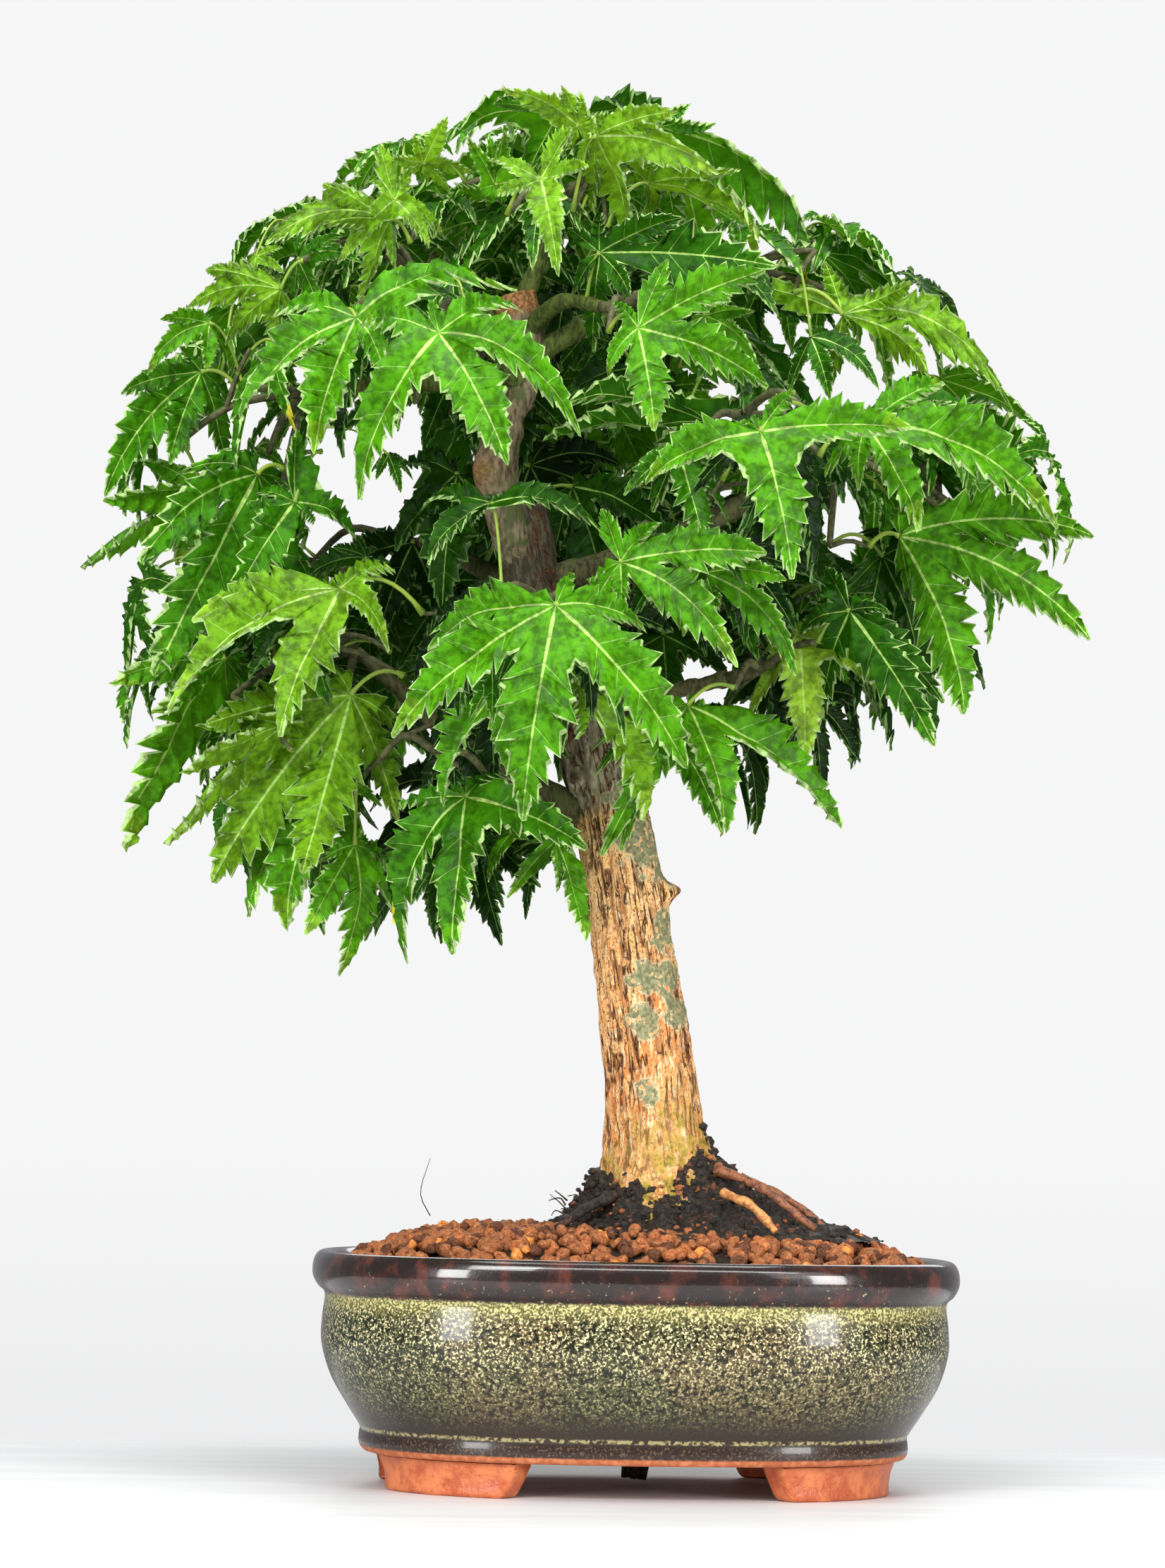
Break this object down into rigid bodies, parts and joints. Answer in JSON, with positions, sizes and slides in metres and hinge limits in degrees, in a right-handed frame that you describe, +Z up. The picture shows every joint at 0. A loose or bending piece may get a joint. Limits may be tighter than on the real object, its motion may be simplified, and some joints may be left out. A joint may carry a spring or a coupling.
{
  "type": "potted maple bonsai",
  "caption": "Informal upright maple bonsai with a dense crown of lobed drooping leaves, in an oval glazed pot on corner feet.",
  "frame": {"origin": "on the floor, under the middle of the whole object's box", "axes": "+Z up, -Y towards the plant's front, +X along the pot's long side, to the viewer's right from the front"},
  "size_m": [0.26, 0.23, 0.3717],
  "materials": {
    "glaze": "gloss",
    "terracotta": "matt",
    "soil": "rough",
    "roots": "rough",
    "bark": "rough",
    "wood": "rough",
    "foliage": "satin"
  },
  "bodies": {
    "root": {"pot": "glaze", "foot_front_left": "terracotta", "foot_front_right": "terracotta", "foot_back_left": "terracotta", "foot_back_right": "terracotta", "soil": "soil", "root_tuft": "roots", "trunk": "bark", "leader": "wood", "bough_low_left": "wood", "bough_left": "wood", "bough_front": "wood", "bough_low_right": "wood", "bough_front_right": "wood", "bough_right": "wood", "bough_mid_right": "wood", "bough_far_left": "wood", "bough_upper_front": "wood", "bough_upper_left": "wood", "bough_upper_right": "wood", "bough_crest_front": "wood", "bough_crest": "wood", "bough_upper_back": "wood", "bough_back_left": "wood", "bough_back_right": "wood", "leaves_front": "foliage", "leaves_upper_front": "foliage", "leaves_front_right": "foliage", "leaves_mid_right": "foliage", "leaves_crest_front": "foliage", "leaves_low_left": "foliage", "leaves_left": "foliage", "leaves_far_left": "foliage", "leaves_upper_left": "foliage", "leaves_crest": "foliage", "leaves_upper_right": "foliage", "leaves_right": "foliage", "leaves_low_right": "foliage", "leaves_upper_back": "foliage", "leaves_back_left": "foliage", "leaves_back_right": "foliage"}
  },
  "joints": []
}
